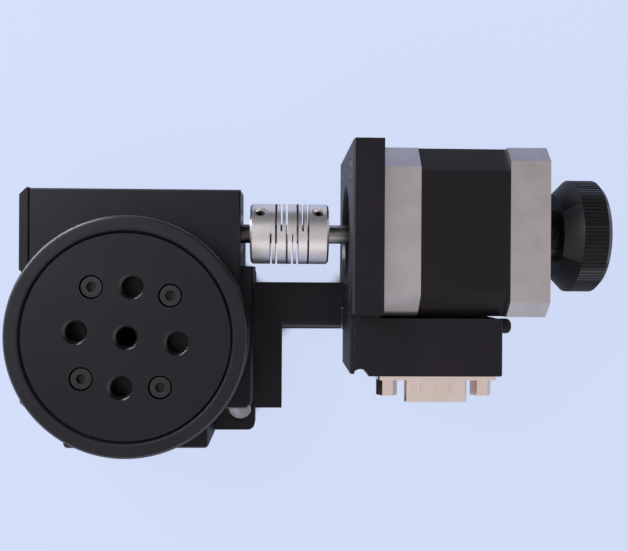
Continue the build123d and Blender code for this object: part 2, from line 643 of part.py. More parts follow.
# ---------------------------------------------------------------- body housing and base
def body_housing():
    outline = [(-FLANK_X, COVER_Y_LOW), (-FLANK_X, FLANK_Y_LOW), (-TAB_X, FLANK_Y_LOW), (-TAB_X, TAB_Y),
               (TAB_X, TAB_Y), (TAB_X, FLANK_Y_LOW), (FLANK_X, FLANK_Y_LOW), (FLANK_X, FLANK_Y_HIGH),
               (WORM_BLOCK_LEFT, FLANK_Y_HIGH), (WORM_BLOCK_LEFT, COVER_Y_LOW)]
    floor = make_face(Polyline(*outline, close=True))
    body = Pos(0, 0, BASE_THICK) * extrude(floor, amount=SHOULDER_HEIGHT - BASE_THICK)
    upright = body.edges().filter_by(Axis.Z)
    body = fillet(upright.filter_by(lambda edge: edge.center().Y < TAB_Y + TAB_CORNER), TAB_CORNER)
    upright = body.edges().filter_by(Axis.Z)
    outer = upright.filter_by(lambda edge: abs(edge.center().X) > FLANK_X - FLANK_CORNER)
    body = chamfer(outer.filter_by(lambda edge: edge.center().Y < FLANK_Y_LOW + FLANK_CORNER), FLANK_CORNER)
    body = chamfer(body.faces().sort_by(Axis.Z)[-1].edges(), HOUSING_EDGE)
    block_x = (WORM_BLOCK_LEFT, WORM_BLOCK_RIGHT)
    worm_block = block(block_x, (0, WORM_BLOCK_DEEP_Y), (BASE_THICK, WORM_BLOCK_TOP))
    worm_block += block(block_x, (0, WORM_BLOCK_Y), (WORM_BLOCK_UNDER, WORM_BLOCK_TOP))
    worm_block = chamfer(worm_block.faces().sort_by(Axis.Z)[-1].edges(), HOUSING_EDGE)
    boss = disc(BOSS_RADIUS, BASE_THICK, HOUSING_TOP)
    body += chamfer(boss.faces().sort_by(Axis.Z)[-1].edges(), HOUSING_EDGE)
    body += worm_block
    body -= disc(CAVITY_RADIUS, BASE_THICK, LIP_LOW)
    body -= disc(BEARING_LIP_RADIUS, LIP_LOW, BEARING_LOW)
    body -= disc(BEARING_OUTER_RADIUS + SEAT_CLEARANCE, BEARING_LOW, HOUSING_TOP)
    body -= bar(TUNNEL_RADIUS, WORM_BLOCK_LEFT, WORM_BLOCK_RIGHT)
    body -= bar(SMALL_BEARING_RADIUS + SEAT_CLEARANCE, WORM_BLOCK_LEFT, LEFT_BEARING_END)
    body -= bar(SMALL_BEARING_RADIUS + SEAT_CLEARANCE, RIGHT_BEARING_LOW, WORM_BLOCK_RIGHT)
    for spot in retainer_screw_spots():
        body -= Pos(*spot) * tapped_hole(M2_5_LOW, RETAINER_SCREW_LENGTH, RETAINER_SCREW_LENGTH)
    for spot in base_screw_spots():
        body -= Pos(*spot) * TO_DOWN * tapped_hole(M3, BASE_SCREW_LENGTH, BASE_SCREW_LENGTH)
    for spot in cover_screw_spots():
        body -= Pos(*spot) * TO_LEFT * tapped_hole(M2_5_LOW, COVER_SCREW_LENGTH, COVER_SCREW_LENGTH)
    return [body]


def base_plate():
    plate = block((-FLANK_X, FLANK_X), (BASE_Y_LOW, FLANK_Y_HIGH), (0, BASE_THICK))
    plate = fillet(plate.edges().filter_by(Axis.Z), BASE_CORNER)
    plate += block((WORM_BLOCK_LEFT, WORM_BLOCK_RIGHT), (0, WORM_BLOCK_DEEP_Y), (0, BASE_THICK))
    for x in (-EAR_X, EAR_X):
        plate -= disc(EAR_RADIUS, 0, BASE_THICK, x, EAR_Y)
    for spot in base_screw_spots():
        plate -= Pos(*spot) * TO_DOWN * screw_hole(M3, BASE_THICK)
    for spot in bracket_screw_spots():
        plate -= Pos(*spot) * TO_RIGHT * tapped_hole(M3, BRACKET_SCREW_LENGTH, BRACKET_SCREW_LENGTH)
    return [plate]


def end_plate(low, high, proud=0.0):
    """A flat plate over the worm tunnel's left end."""
    plate = block((low, high), (COVER_Y_LOW, WORM_BLOCK_Y + proud), (WORM_BLOCK_UNDER, WORM_BLOCK_TOP))
    for spot in cover_screw_spots():
        plate -= bar(M2_5_LOW[2] + HOLE_CLEARANCE, low, high, spot[1], spot[2])
    return plate


def worm_cover_gasket():
    return [end_plate(WORM_BLOCK_LEFT - GASKET_THICK, WORM_BLOCK_LEFT, GASKET_PROUD)]


def worm_end_cover():
    low = WORM_BLOCK_LEFT - GASKET_THICK - COVER_THICK
    cover = end_plate(low, WORM_BLOCK_LEFT - GASKET_THICK)
    upright = cover.faces().sort_by(Axis.X)[0].edges().filter_by(Axis.Z)
    cover = chamfer(upright, COVER_BEVEL)
    for spot in cover_screw_spots():
        cover -= Pos(*spot) * TO_LEFT * screw_hole(M2_5_LOW, COVER_THICK, open_height=COVER_SCREW_SINK + 1)
    return [cover]


def home_sensor():
    """A forked sensor that the wheel's flag passes through."""
    body = block((SENSOR_RADIUS - SENSOR_DEPTH / 2, SENSOR_RADIUS + SENSOR_DEPTH / 2),
                 (-SENSOR_WIDTH / 2, SENSOR_WIDTH / 2), (BASE_THICK, BASE_THICK + SENSOR_HEIGHT))
    body -= block((SENSOR_RADIUS - SENSOR_SLOT / 2, SENSOR_RADIUS + SENSOR_SLOT / 2),
                  (-SENSOR_WIDTH / 2, SENSOR_WIDTH / 2),
                  (BASE_THICK + SENSOR_FLOOR, BASE_THICK + SENSOR_HEIGHT))
    return [Rot(0, 0, SENSOR_ANGLE) * body]


# ---------------------------------------------------------------- worm shaft and its bearings
def worm_thread():
    """The thread in three lengths that meet end to end, its middle crest in a gap of the wheel."""
    length = WORM_TURNS * WORM_LEAD / WORM_THREAD_PARTS
    flank = math.tan(math.radians(PRESSURE_ANGLE))
    foot = WORM_ROOT_RADIUS - THREAD_SUNK
    foot_half = (DEDENDUM + THREAD_SUNK) * flank
    middle = WORM_LEAD / 4 - FLANK_CLEARANCE
    outline = Polyline((foot, -middle - foot_half), (WORM_TIP_RADIUS, -middle + ADDENDUM * flank),
                       (WORM_TIP_RADIUS, middle - ADDENDUM * flank), (foot, middle + foot_half), close=True)
    lengths = []
    for index in range(WORM_THREAD_PARTS):
        start = (index - WORM_THREAD_PARTS / 2) * length
        turned = -90 + 360 * start / WORM_LEAD
        section = Plane.XZ * make_face(outline)
        path = Helix(WORM_LEAD, length, WORM_PITCH_RADIUS)
        lengths.append(Rot(0, 0, turned) * Pos(0, 0, start) * sweep(section, path=path, is_frenet=True))
    return [Pos(0, WORM_Y, WORM_HEIGHT) * TO_RIGHT * piece for piece in lengths]


def worm_shaft():
    half = (WORM_TURNS + 1) * WORM_LEAD / 2
    left = WORM_BLOCK_LEFT + WORM_SHAFT_INSET
    shaft = turned_x([(left, 0), (left, SHAFT_RADIUS), (LEFT_BEARING_END, SHAFT_RADIUS),
                      (LEFT_BEARING_END, WORM_SHAFT_RADIUS), (-half, WORM_SHAFT_RADIUS),
                      (-half, WORM_ROOT_RADIUS), (half, WORM_ROOT_RADIUS), (half, WORM_SHAFT_RADIUS),
                      (RIGHT_BEARING_LOW, WORM_SHAFT_RADIUS), (RIGHT_BEARING_LOW, SHAFT_RADIUS),
                      (WORM_SHAFT_END, SHAFT_RADIUS), (WORM_SHAFT_END, 0)])
    return [shaft + worm_thread()]


def bearing_places():
    worm = [(WORM_BLOCK_LEFT, LEFT_BEARING_END), (RIGHT_BEARING_LOW, RIGHT_BEARING_HIGH)]
    motor = [(FRONT_BEARING_LOW, FRONT_BEARING_HIGH), (REAR_BEARING_LOW, REAR_BEARING_HIGH)]
    return worm, motor


def outer_rings(places):
    bore = SMALL_RING_INNER + RUNNING_GAP
    return [ring_x(bore, SMALL_BEARING_RADIUS, low, high, SMALL_RING_EDGE) for low, high in places]


def inner_rings(places):
    return [ring_x(SHAFT_RADIUS + SEAT_CLEARANCE, SMALL_RING_INNER, low, high) for low, high in places]


def worm_bearing_nut():
    nut = ring_x(SMALL_RING_INNER + BEARING_NUT_GAP, SMALL_BEARING_RADIUS, RIGHT_BEARING_HIGH,
                 WORM_BLOCK_RIGHT, SMALL_RING_EDGE)
    for side in (-1, 1):
        slot_y = WORM_Y + side * (SMALL_BEARING_RADIUS - NUT_SLOT_INSET)
        nut -= bar(NUT_SLOT_RADIUS, WORM_BLOCK_RIGHT - NUT_SLOT_DEPTH, WORM_BLOCK_RIGHT, slot_y)
    return [nut]


# ---------------------------------------------------------------- coupling
def coupling():
    bore = SHAFT_RADIUS + SEAT_CLEARANCE
    body = ring_x(bore, COUPLING_RADIUS, COUPLING_LEFT, COUPLING_RIGHT, COUPLING_EDGE)
    reach = COUPLING_RADIUS + 1
    for index, turn in enumerate(SLIT_TURNS):
        x = COUPLING_MIDDLE + (index - (len(SLIT_TURNS) - 1) / 2) * SLIT_PITCH
        slit = block((x - SLIT_WIDTH / 2, x + SLIT_WIDTH / 2), (-reach, reach),
                     (SLIT_WEB - COUPLING_RADIUS, reach))
        body -= Pos(0, WORM_Y, WORM_HEIGHT) * Rot(turn, 0, 0) * slit
    mouth = COUPLING_RADIUS - SET_SCREW_SUNK
    thread = SET_SCREW_RADIUS + THREAD_CLEARANCE
    hole = turned_z([(0, 0), (thread, 0), (thread, mouth), (SET_SCREW_RADIUS + SET_SCREW_SUNK, reach),
                     (0, reach)])
    for x, turn in coupling_screw_turns():
        body -= Pos(x, WORM_Y, WORM_HEIGHT) * Rot(turn, 0, 0) * hole
    return [body]


def coupling_screw_turns():
    ends = (COUPLING_LEFT + COUPLING_SCREW_INSET, COUPLING_RIGHT - COUPLING_SCREW_INSET)
    return [(x, turn) for x in ends for turn in COUPLING_SCREW_TURNS]


def set_screw(length):
    """A set screw along Z, its foot at Z = 0."""
    socket = RegularPolygon(SET_SCREW_HEX / 2, 6, major_radius=False)
    return disc(SET_SCREW_RADIUS, 0, length) - extrude(Pos(0, 0, length) * socket, amount=-SET_SCREW_HEX)


def coupling_set_screws():
    foot = SHAFT_RADIUS + SEAT_CLEARANCE
    screw = Pos(0, 0, foot) * set_screw(COUPLING_RADIUS - foot - SET_SCREW_SUNK)
    return [Pos(x, WORM_Y, WORM_HEIGHT) * Rot(turn, 0, 0) * screw for x, turn in coupling_screw_turns()]


# ---------------------------------------------------------------- bracket and motor plate
def motor_bracket():
    foot_right = FLANK_X + FOOT_THICK
    body = block((FLANK_X, foot_right), (FOOT_Y_LOW, ARM_Y_HIGH), (0, BRACKET_HEIGHT))
    body += block((FLANK_X, PLATE_LEFT), (ARM_Y_LOW, ARM_Y_HIGH), (0, BRACKET_HEIGHT))
    near = body.edges().filter_by(Axis.X).filter_by(lambda edge: abs(edge.center().Y - ARM_Y_LOW) < ARM_EDGE)
    body = fillet(near.sort_by(Axis.Z)[-1], ARM_EDGE)
    for spot in bracket_screw_spots():
        body -= Pos(*spot) * TO_RIGHT * screw_hole(M3, FOOT_THICK)
    body -= Pos(*plate_screw_spot()) * TO_RIGHT * tapped_hole(M4, PLATE_SCREW_LENGTH, PLATE_SCREW_LENGTH)
    body -= bar(DOWEL_RADIUS + SEAT_CLEARANCE, DOWEL_START, PLATE_LEFT, *dowel_spot())
    return [body]


def plate_screw_spot():
    return (MOTOR_FRONT, PLATE_SCREW_Y, BRACKET_HEIGHT / 2)


def dowel_spot():
    return (MOTOR_PLATE_Y_LOW + DOWEL_INSET, BRACKET_HEIGHT - DOWEL_INSET)


def motor_plate():
    plate = block((PLATE_LEFT, MOTOR_FRONT), (MOTOR_PLATE_Y_LOW, MOTOR_PLATE_Y_HIGH),
                  (0, MOTOR_PLATE_HEIGHT))
    plate = chamfer(plate.faces().sort_by(Axis.X)[0].edges(), PLATE_EDGE)
    plate -= bar(MOTOR_BORE_RADIUS, PLATE_LEFT, MOTOR_FRONT)
    mouth_end = PLATE_LEFT + MOTOR_BORE_CHAMFER
    plate -= turned_x([(PLATE_LEFT, 0), (PLATE_LEFT, MOTOR_BORE_RADIUS + MOTOR_BORE_CHAMFER),
                       (mouth_end, MOTOR_BORE_RADIUS), (mouth_end, 0)])
    for spot in mount_screw_spots():
        plate -= Pos(*spot) * TO_LEFT * screw_hole(M3, MOTOR_PLATE_THICK)
    plate -= Pos(*plate_screw_spot()) * TO_RIGHT * screw_hole(M4, MOTOR_PLATE_THICK)
    plate -= bar(DOWEL_RADIUS + SEAT_CLEARANCE, PLATE_LEFT, DOWEL_END, *dowel_spot())
    for spot in case_screw_spots():
        plate -= Pos(*spot) * TO_FRONT * tapped_hole(M3, CASE_SCREW_LENGTH, CASE_SCREW_LENGTH)
    return [plate]


def motor_plate_dowel():
    return [bar(DOWEL_RADIUS, DOWEL_START, DOWEL_END, *dowel_spot())]


# ---------------------------------------------------------------- motor
def squared(size, corner, low, high):
    """A square bar along X with bevelled corners."""
    half = size / 2
    body = block((low, high), (WORM_Y - half, WORM_Y + half), (WORM_HEIGHT - half, WORM_HEIGHT + half))
    return chamfer(body.edges().filter_by(Axis.X), corner)


def motor_front_cap():
    cap = squared(MOTOR_SIZE, FRONT_CAP_CHAMFER, MOTOR_FRONT, STACK_START)
    cap += bar(PILOT_RADIUS, MOTOR_FRONT - PILOT_HEIGHT, MOTOR_FRONT)
    cap -= bar(SHAFT_RADIUS + SHAFT_HOLE_GAP, MOTOR_FRONT - PILOT_HEIGHT, STACK_START)
    cap -= bar(SMALL_BEARING_RADIUS + SEAT_CLEARANCE, FRONT_BEARING_LOW, FRONT_BEARING_HIGH)
    cap -= bar(SLOT_OUTER_RADIUS, FRONT_BEARING_HIGH, STACK_START)
    mount_hole = tapped_hole(M3, MOTOR_SCREW_LENGTH, MOTOR_SCREW_LENGTH, MOTOR_HOLE_SPARE)
    for spot in mount_screw_spots():
        cap -= Pos(*spot) * TO_LEFT * mount_hole
    case_hole = tapped_hole(M3, MOTOR_CASE_SCREW_LENGTH, MOTOR_CASE_SCREW_LENGTH, MOTOR_HOLE_SPARE)
    for spot in motor_screw_spots(MOTOR_REAR):
        cap -= Pos(*spot) * TO_RIGHT * case_hole
    return [cap]


def motor_rear_cap():
    cap = squared(MOTOR_SIZE, REAR_CAP_CHAMFER, STACK_END, MOTOR_REAR)
    cap -= bar(SHAFT_RADIUS + SHAFT_HOLE_GAP, STACK_END, MOTOR_REAR)
    cap -= bar(SMALL_BEARING_RADIUS + SEAT_CLEARANCE, REAR_BEARING_LOW, REAR_BEARING_HIGH)
    cap -= bar(SLOT_OUTER_RADIUS, STACK_END, REAR_BEARING_LOW)
    for spot in motor_screw_spots(MOTOR_REAR):
        cap -= Pos(*spot) * TO_RIGHT * screw_hole(M3, MOTOR_CASE_SCREW_LENGTH)
    return [cap]


def pole_sector():
    """One slot between two stator poles, as a face across the motor's axis."""
    step = 2 * math.pi / POLE_COUNT
    tip = STATOR_BORE_RADIUS + POLE_TIP_THICK
    neck_outer = math.asin(POLE_NECK / 2 / SLOT_OUTER_RADIUS)
    neck_inner = math.asin(POLE_NECK / 2 / tip)
    mouth_outer = POLE_GAP / 2 / tip
    inside = STATOR_BORE_RADIUS - BORE_CUT_OVER
    mouth_inner = POLE_GAP / 2 / inside

    def spot(radius, angle):
        return (radius * math.cos(angle), radius * math.sin(angle))

    half = step / 2
    points = [spot(inside, -mouth_inner), spot(tip, -mouth_outer), spot(tip, -half + neck_inner),
              spot(SLOT_OUTER_RADIUS, -half + neck_outer)]
    upper = [(x, -y) for x, y in points]
    edges = Polyline(*points) + ThreePointArc(points[-1], (SLOT_OUTER_RADIUS, 0), upper[-1])
    edges += Polyline(*reversed(upper)) + Line(upper[0], points[0])
    return make_face(edges)


def motor_stator():
    stack = squared(STACK_SIZE, STACK_CHAMFER, STACK_START, STACK_END)
    stack -= bar(STATOR_BORE_RADIUS, STACK_START, STACK_END)
    slot = Pos(STACK_START, WORM_Y, WORM_HEIGHT) * Rot(0, 90, 0) * extrude(pole_sector(), amount=STACK_LENGTH)
    around = Axis((0, WORM_Y, WORM_HEIGHT), (1, 0, 0))
    stack -= [slot.rotate(around, 360 * (index + 0.5) / POLE_COUNT) for index in range(POLE_COUNT)]
    for spot in motor_screw_spots(0):
        stack -= bar(M3[2] + HOLE_CLEARANCE, STACK_START, STACK_END, spot[1], spot[2])
    return [stack]


def stator_coils():
    """A winding round each pole's neck."""
    inner = STATOR_BORE_RADIUS + POLE_TIP_THICK + COIL_INNER_GAP
    outer = SLOT_OUTER_RADIUS - COIL_OUTER_GAP
    half = POLE_NECK / 2 + COIL_NECK_GAP
    long_half = STACK_LENGTH / 2 + COIL_END_GAP
    end = long_half + COIL_OVERHANG
    middle = (STACK_START + STACK_END) / 2
    coil = block((-end, end), (-half - COIL_THICK, half + COIL_THICK), (inner, outer))
    coil -= block((-long_half, long_half), (-half, half), (inner, outer))
    coil = Pos(middle, WORM_Y, WORM_HEIGHT) * coil
    around = Axis((0, WORM_Y, WORM_HEIGHT), (1, 0, 0))
    return [coil.rotate(around, 360 * index / POLE_COUNT) for index in range(POLE_COUNT)]


def motor_shaft():
    start = MOTOR_SHAFT_START
    end = KNOB_END - KNOB_FACE_RECESS
    return [turned_x([(start, 0), (start, SHAFT_RADIUS - SHAFT_EDGE), (start + SHAFT_EDGE, SHAFT_RADIUS),
                      (end - SHAFT_EDGE, SHAFT_RADIUS), (end, SHAFT_RADIUS - SHAFT_EDGE), (end, 0)])]


def motor_rotor():
    bore = SHAFT_RADIUS + SEAT_CLEARANCE
    groove_low = (ROTOR_START + ROTOR_END - ROTOR_GROOVE) / 2
    groove_high = groove_low + ROTOR_GROOVE
    return [turned_x([(ROTOR_START, bore), (ROTOR_START, ROTOR_RADIUS), (groove_low, ROTOR_RADIUS),
                      (groove_low, ROTOR_MAGNET_RADIUS), (groove_high, ROTOR_MAGNET_RADIUS),
                      (groove_high, ROTOR_RADIUS), (ROTOR_END, ROTOR_RADIUS), (ROTOR_END, bore)])]


# ---------------------------------------------------------------- hand knob
def hand_knob():
    bore = SHAFT_RADIUS + SEAT_CLEARANCE
    floor = KNOB_END - KNOB_FACE_RECESS
    body = turned_x([(KNOB_HUB_START, bore), (KNOB_HUB_START, KNOB_HUB_RADIUS - KNOB_HUB_EDGE),
                     (KNOB_HUB_START + KNOB_HUB_EDGE, KNOB_HUB_RADIUS), (KNOB_BACK, KNOB_HUB_RADIUS),
                     (KNOB_BACK, KNOB_RADIUS - KNOB_BACK_BEVEL), (KNOB_RIM_START, KNOB_RADIUS),
                     (KNOB_END - KNOB_RIM_EDGE, KNOB_RADIUS), (KNOB_END, KNOB_RADIUS - KNOB_RIM_EDGE),
                     (KNOB_END, KNOB_FACE_RADIUS), (floor, KNOB_FACE_RADIUS), (floor, bore)])
    half = KNOB_FLUTE_WIDTH / 2
    groove = make_face(Polyline((-half, KNOB_RADIUS + KNOB_FLUTE_OVER), (half, KNOB_RADIUS + KNOB_FLUTE_OVER),
                                (0, KNOB_RADIUS - KNOB_FLUTE_DEPTH), close=True))
    flute = Pos(KNOB_RIM_START, WORM_Y, WORM_HEIGHT) * TO_RIGHT * extrude(groove, amount=KNOB_RIM_LENGTH)
    around = Axis((0, WORM_Y, WORM_HEIGHT), (1, 0, 0))
    body -= [flute.rotate(around, 360 * index / KNOB_FLUTES) for index in range(KNOB_FLUTES)]
    hole = disc(SET_SCREW_RADIUS + THREAD_CLEARANCE, 0, KNOB_HUB_RADIUS + 1)
    return [body - Pos(knob_screw_x(), WORM_Y, WORM_HEIGHT) * hole]


def knob_screw_x():
    return (KNOB_HUB_START + KNOB_BACK) / 2


def knob_set_screw():
    foot = SHAFT_RADIUS + SEAT_CLEARANCE
    length = KNOB_HUB_RADIUS - foot - SET_SCREW_SUNK
    return [Pos(knob_screw_x(), WORM_Y, WORM_HEIGHT + foot) * set_screw(length)]


# ---------------------------------------------------------------- connector housing and D connector
def connector_housing():
    case = block((CASE_LEFT, CASE_RIGHT), (CASE_Y_LOW, CASE_Y_HIGH), (CASE_Z_LOW, CASE_Z_HIGH))
    case = fillet(case.faces().sort_by(Axis.X)[-1].edges(), CASE_CORNER)
    case += block((CASE_LEFT, MOTOR_FRONT), (CASE_Y_HIGH - CASE_WALL, MOTOR_PLATE_Y_LOW),
                  (CASE_Z_LOW, CASE_Z_HIGH))
    case -= block((CASE_LEFT, CASE_RIGHT - CASE_WALL), (CASE_Y_LOW + CASE_WALL, CASE_Y_HIGH - CASE_WALL),
                  (CASE_Z_LOW + CASE_WALL, CASE_Z_HIGH - CASE_WALL))
    for spot in case_screw_spots():
        case -= Pos(*spot) * TO_FRONT * disc(M3[2] + HOLE_CLEARANCE, -M3[1] - CASE_SCREW_LENGTH, 0)
    case -= dsub_prism(DSUB_SHELL_WIDTH + DSUB_CUTOUT_OVER, DSUB_SHELL_HEIGHT + DSUB_CUTOUT_OVER, CASE_Y_LOW,
                       CASE_Y_LOW + CASE_WALL)
    jack_hole_end = CASE_Y_LOW + CASE_WALL + JACK_PAST_WALL + HOLE_SPARE
    for x in jack_places():
        case -= along_y(JACK_HOLE_RADIUS + THREAD_CLEARANCE, CASE_Y_LOW, jack_hole_end, x)
    notch_x = CASE_LEFT + CASE_NOTCH_FROM_LEFT
    notch_y = CASE_Y_LOW + CASE_NOTCH_DEPTH - CASE_NOTCH_RADIUS
    case -= disc(CASE_NOTCH_RADIUS, CASE_Z_LOW, CASE_Z_HIGH, notch_x, notch_y)
    return [case]


def connector_end_cover():
    inset = CASE_COVER_INSET
    cover = block((PLATE_LEFT, CASE_LEFT), (CASE_Y_LOW + inset, CASE_Y_HIGH),
                  (CASE_Z_LOW + inset, CASE_Z_HIGH))
    return [chamfer(cover.faces().sort_by(Axis.X)[0].edges(), CASE_COVER_EDGE)]


def along_y(radius, low, high, x, z=DSUB_Z):
    """A cylinder along Y, at the connector's height unless another is given."""
    return Pos(x, (low + high) / 2, z) * Rot(90, 0, 0) * Cylinder(radius, high - low)


def jack_places():
    return (DSUB_X - JACK_SPACING / 2, DSUB_X + JACK_SPACING / 2)


def dsub_prism(width, height, low, high):
    """The connector's D outline, wide side up, between two values of Y."""
    slope = height * math.tan(math.radians(DSUB_TAPER))
    points = [(-width / 2, height / 2), (width / 2, height / 2), (width / 2 - slope, -height / 2),
              (slope - width / 2, -height / 2)]
    face = make_face(Polyline(*points, close=True))
    face = fillet(face.vertices(), min(DSUB_CORNER, height / 3))
    return Pos(DSUB_X, high, DSUB_Z) * extrude(Plane.XZ * face, amount=high - low)


def connector_shell():
    flange_low = CASE_Y_LOW - DSUB_FLANGE_THICK
    shell = block((DSUB_X - DSUB_FLANGE_LENGTH / 2, DSUB_X + DSUB_FLANGE_LENGTH / 2),
                  (flange_low, CASE_Y_LOW),
                  (DSUB_Z - DSUB_FLANGE_WIDTH / 2, DSUB_Z + DSUB_FLANGE_WIDTH / 2))
    shell = fillet(shell.edges().filter_by(Axis.Y), DSUB_FLANGE_CORNER)
    shell += dsub_prism(DSUB_SHELL_WIDTH, DSUB_SHELL_HEIGHT, flange_low - DSUB_SHELL_REACH, CASE_Y_LOW)
    wall = 2 * DSUB_SHELL_WALL
    shell -= dsub_prism(DSUB_SHELL_WIDTH - wall, DSUB_SHELL_HEIGHT - wall, flange_low - DSUB_SHELL_REACH - 1,
                        CASE_Y_LOW + 1)
    for x in jack_places():
        shell -= along_y(JACK_HOLE_RADIUS + HOLE_CLEARANCE, flange_low, CASE_Y_LOW, x)
    rib_high = flange_low - DSUB_RIB_FROM_FLANGE
    rib_z = DSUB_Z + DSUB_SHELL_HEIGHT / 2 + DSUB_RIB_PROUD - DSUB_RIB_RADIUS
    for index in range(DSUB_RIB_COUNT):
        x = DSUB_X + DSUB_RIB_PITCH * (index - (DSUB_RIB_COUNT - 1) / 2)
        shell += along_y(DSUB_RIB_RADIUS, rib_high - DSUB_RIB_LENGTH, rib_high, x, rib_z)
    return [shell]


def connector_insulator():
    wall = 2 * DSUB_SHELL_WALL + 2 * RUNNING_GAP
    back = CASE_Y_LOW + CASE_WALL + INSULATOR_BACK
    front = CASE_Y_LOW - DSUB_FLANGE_THICK - DSUB_SHELL_REACH + PIN_REACH
    body = dsub_prism(DSUB_SHELL_WIDTH - wall, DSUB_SHELL_HEIGHT - wall, front, back)
    for x, z in pin_spots():
        body -= along_y(PIN_RADIUS + SEAT_CLEARANCE, front, back, x, z)
    return [body]


def pin_spots():
    spots = []
    for row, count in enumerate(PIN_ROWS):
        z = DSUB_Z + PIN_ROW_GAP * (0.5 - row)
        spots += [(DSUB_X + PIN_PITCH * (index - (count - 1) / 2), z) for index in range(count)]
    return spots


def connector_pins():
    tip = CASE_Y_LOW - DSUB_FLANGE_THICK - DSUB_SHELL_REACH + PIN_TIP_INSET
    tail = CASE_Y_LOW + CASE_WALL + INSULATOR_BACK + PIN_TAIL
    return [along_y(PIN_RADIUS, tip, tail, x, z) for x, z in pin_spots()]


def connector_jackscrews():
    flange_low = CASE_Y_LOW - DSUB_FLANGE_THICK
    screws = []
    end = flange_low - JACK_REACH
    flats = Plane.XZ * RegularPolygon(JACK_FLATS / 2, 6, major_radius=False)
    for x in jack_places():
        nut = Pos(x, flange_low, DSUB_Z) * extrude(flats, amount=JACK_REACH)
        nut -= along_y(JACK_HOLE_RADIUS, end, flange_low - JACK_HOLE_END, x)
        screws.append(nut + along_y(JACK_HOLE_RADIUS, flange_low, CASE_Y_LOW + CASE_WALL + JACK_PAST_WALL, x))
    return screws


def lead_grommet():
    body = bar(GROMMET_RADIUS, CASE_RIGHT, CASE_RIGHT + GROMMET_REACH, GROMMET_Y, GROMMET_Z)
    return [fillet(body.edges().sort_by(Axis.X)[-1], GROMMET_EDGE)]


# ---------------------------------------------------------------- every node, in order
def all_nodes():
    worm_places, motor_places = bearing_places()
    return {
        "base_plate": base_plate(),
        "body_housing": body_housing(),
        "base_screws": placed(socket_screw(M3, BASE_SCREW_LENGTH), base_screw_spots(), TO_DOWN),
        "worm_cover_gasket": worm_cover_gasket(),
        "worm_end_cover": worm_end_cover(),
        "worm_cover_screws": placed(socket_screw(M2_5_LOW, COVER_SCREW_LENGTH), cover_screw_spots(), TO_LEFT),
        "table_bearing_outer_ring": table_bearing_outer_ring(),
        "bearing_retainer_ring": bearing_retainer_ring(),
        "retainer_screws": placed(socket_screw(M2_5_LOW, RETAINER_SCREW_LENGTH), retainer_screw_spots()),
        "worm_bearing_outer_rings": outer_rings(worm_places),
        "worm_bearing_nut": worm_bearing_nut(),
        "home_sensor": home_sensor(),
        "motor_bracket": motor_bracket(),
        "bracket_screws": placed(socket_screw(M3, BRACKET_SCREW_LENGTH), bracket_screw_spots(), TO_RIGHT),
        "motor_plate": motor_plate(),
        "motor_plate_screw": placed(socket_screw(M4, PLATE_SCREW_LENGTH), [plate_screw_spot()], TO_RIGHT),
        "motor_plate_dowel": motor_plate_dowel(),
        "motor_mount_screws": placed(socket_screw(M3, MOTOR_SCREW_LENGTH), mount_screw_spots(), TO_LEFT),
        "motor_front_cap": motor_front_cap(),
        "motor_stator": motor_stator(),
        "stator_coils": stator_coils(),
        "motor_rear_cap": motor_rear_cap(),
        "motor_case_screws": placed(socket_screw(M3, MOTOR_CASE_SCREW_LENGTH), motor_screw_spots(MOTOR_REAR),
                                    TO_RIGHT),
        "motor_bearing_outer_rings": outer_rings(motor_places),
        "connector_housing": connector_housing(),
        "connector_end_cover": connector_end_cover(),
        "connector_housing_screws": placed(socket_screw(M3, CASE_SCREW_LENGTH), case_screw_spots(), TO_FRONT),
        "connector_shell": connector_shell(),
        "connector_insulator": connector_insulator(),
        "connector_pins": connector_pins(),
        "connector_jackscrews": connector_jackscrews(),
        "lead_grommet": lead_grommet(),
        "table_plate": table_plate(),
        "scale_ring": scale_ring(),
        "table_screws": placed(socket_screw(M3, TABLE_SCREW_LENGTH), table_screw_spots()),
        "spindle": spindle(),
        "worm_wheel": worm_wheel(),
        "wheel_screws": placed(socket_screw(M2_5, WHEEL_SCREW_LENGTH), wheel_screw_spots(), TO_DOWN),
        "home_flag": home_flag(),
        "table_bearing_inner_ring": table_bearing_inner_ring(),
        "bearing_rollers": bearing_rollers(),
        "worm_shaft": worm_shaft(),
        "worm_bearing_inner_rings": inner_rings(worm_places),
        "flexible_coupling": coupling(),
        "coupling_set_screws": coupling_set_screws(),
        "motor_shaft": motor_shaft(),
        "motor_rotor": motor_rotor(),
        "motor_bearing_inner_rings": inner_rings(motor_places),
        "hand_knob": hand_knob(),
        "knob_set_screw": knob_set_screw(),
    }


os.makedirs("parts", exist_ok=True)
for name, pieces in all_nodes().items():
    solids = [solid for piece in pieces for solid in piece.solids()]
    export_step(Compound(solids), f"parts/{name}.step")
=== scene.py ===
import bpy
import json
import math
from mathutils import Matrix, Vector


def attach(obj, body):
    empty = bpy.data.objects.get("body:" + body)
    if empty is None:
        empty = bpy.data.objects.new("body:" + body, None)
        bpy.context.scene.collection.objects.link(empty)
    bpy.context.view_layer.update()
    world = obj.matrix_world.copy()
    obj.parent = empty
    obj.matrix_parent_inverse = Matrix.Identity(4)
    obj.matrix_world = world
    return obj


# The looks of the motor-driven rotation stage. Lengths are in metres unless a name ends in _MM.
MM = 0.001

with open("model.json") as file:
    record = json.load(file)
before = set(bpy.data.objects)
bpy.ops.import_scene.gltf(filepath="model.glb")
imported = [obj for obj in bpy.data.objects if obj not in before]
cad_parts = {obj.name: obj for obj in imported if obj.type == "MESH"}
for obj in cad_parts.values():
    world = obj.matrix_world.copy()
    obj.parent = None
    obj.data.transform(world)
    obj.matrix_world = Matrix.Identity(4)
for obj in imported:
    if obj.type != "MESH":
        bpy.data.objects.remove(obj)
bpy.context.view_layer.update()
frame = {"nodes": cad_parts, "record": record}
NODES = frame["nodes"]


